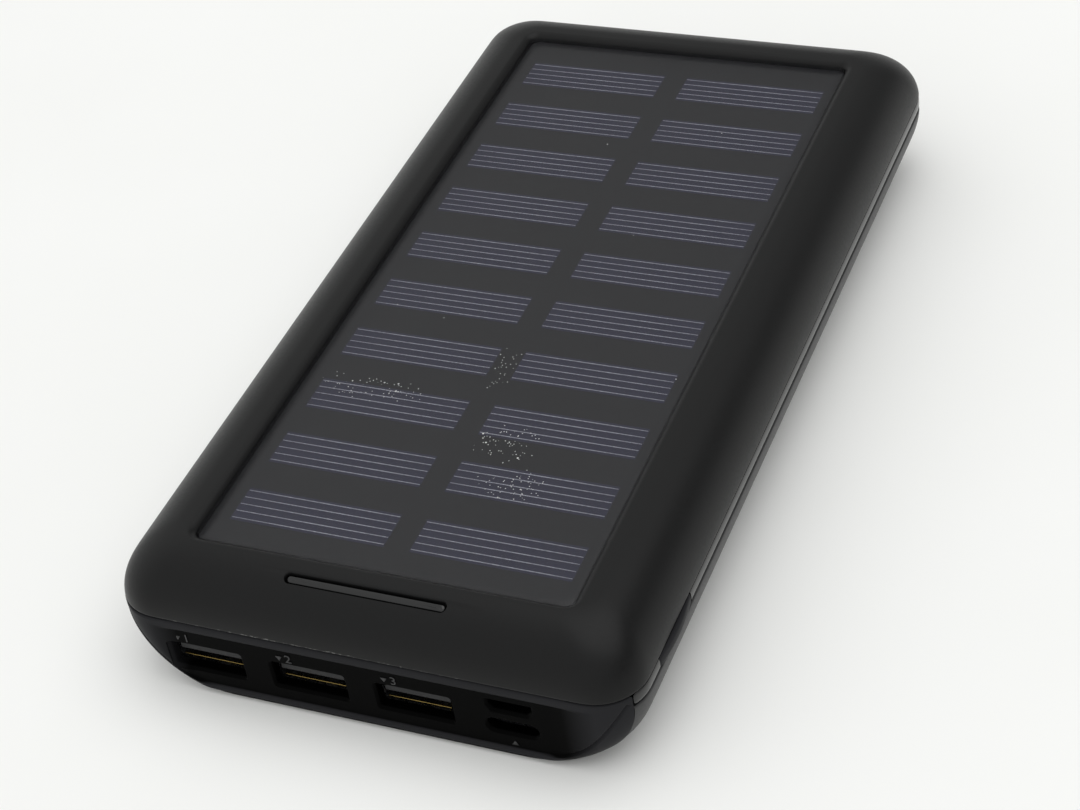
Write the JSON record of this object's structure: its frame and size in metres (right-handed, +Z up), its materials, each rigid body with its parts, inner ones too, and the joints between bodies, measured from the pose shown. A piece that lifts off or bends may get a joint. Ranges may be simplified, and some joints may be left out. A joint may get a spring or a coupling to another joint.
{
  "type": "solar phone charger",
  "caption": "Slim solar power bank: rounded black case with a solar panel on top, an indicator light bar, charging sockets on one end and a side power button.",
  "frame": {"origin": "under the middle of the case, on the surface it lies on", "axes": "+X across the case towards the side with the power button, +Y along the case away from the port face, +Z up, out of the solar panel"},
  "size_m": [0.0906, 0.17, 0.0255],
  "materials": {
    "matte_shell": "soft-touch matte, fine moulded grain",
    "gloss_trim": "polished black",
    "satin_cap": "smooth satin",
    "light_guide": "smoked, polished",
    "panel_sheet": "dark laminate backing",
    "panel_cover": "satin clear laminate",
    "silicon_cell": "coated silicon with printed grid lines",
    "circuit_board": "solder mask",
    "socket_steel": "nickel plated",
    "socket_insulator": "moulded",
    "dark_insulator": "moulded",
    "led_lens": "clear resin",
    "flex_cable": "polyimide",
    "pouch_foil": "embossed foil laminate",
    "foam_pad": "closed-cell foam",
    "ferrite": "pressed powder",
    "chip_resin": "moulded resin",
    "capacitor_can": "drawn can",
    "red_wire": "silicone insulation",
    "black_wire": "silicone insulation"
  },
  "bodies": {
    "housing": {"top_shell": "matte_shell", "bottom_shell": "matte_shell", "side_band": "gloss_trim", "end_cap": "satin_cap", "light_bar": "light_guide", "panel_board": "panel_sheet", "panel_film": "panel_cover", "solar_cell_left_01": "silicon_cell", "solar_cell_left_02": "silicon_cell", "solar_cell_left_03": "silicon_cell", "solar_cell_left_04": "silicon_cell", "solar_cell_left_05": "silicon_cell", "solar_cell_left_06": "silicon_cell", "solar_cell_left_07": "silicon_cell", "solar_cell_left_08": "silicon_cell", "solar_cell_left_09": "silicon_cell", "solar_cell_left_10": "silicon_cell", "solar_cell_right_01": "silicon_cell", "solar_cell_right_02": "silicon_cell", "solar_cell_right_03": "silicon_cell", "solar_cell_right_04": "silicon_cell", "solar_cell_right_05": "silicon_cell", "solar_cell_right_06": "silicon_cell", "solar_cell_right_07": "silicon_cell", "solar_cell_right_08": "silicon_cell", "solar_cell_right_09": "silicon_cell", "solar_cell_right_10": "silicon_cell", "main_board": "circuit_board", "usb_a_shell_1": "socket_steel", "usb_a_tongue_1": "socket_insulator", "usb_a_shell_2": "socket_steel", "usb_a_tongue_2": "socket_insulator", "usb_a_shell_3": "socket_steel", "usb_a_tongue_3": "socket_insulator", "micro_usb_shell": "socket_steel", "micro_usb_tongue": "dark_insulator", "usb_c_shell": "socket_steel", "usb_c_tongue": "dark_insulator", "input_board": "circuit_board", "board_link_header": "dark_insulator", "switch_board": "circuit_board", "switch_body": "socket_steel", "indicator_board": "circuit_board", "indicator_led_1": "led_lens", "indicator_led_2": "led_lens", "indicator_led_3": "led_lens", "indicator_led_4": "led_lens", "indicator_ribbon": "flex_cable", "battery_cell_lower": "pouch_foil", "battery_pad": "foam_pad", "battery_cell_upper": "pouch_foil", "boost_inductor": "ferrite", "power_chip": "chip_resin", "output_capacitor": "capacitor_can", "panel_lead_red": "red_wire", "panel_lead_black": "black_wire", "battery_lead_red": "red_wire", "battery_lead_black": "black_wire"},
    "button": {"power_button": "satin_cap"},
    "plunger": {"switch_plunger": "dark_insulator"}
  },
  "joints": [
    {"name": "button_press", "type": "slide", "parent": "housing", "child": "button", "axis": [-1, 0, 0], "range_m": [0, 0.0004], "stiffness_N_per_m": 400},
    {"name": "plunger_press", "type": "slide", "parent": "housing", "child": "plunger", "axis": [-1, 0, 0], "range_m": [0, 0.0004]}
  ],
  "couplings": [
    {"joint": "plunger_press", "follows": "button_press", "ratio": 1}
  ]
}
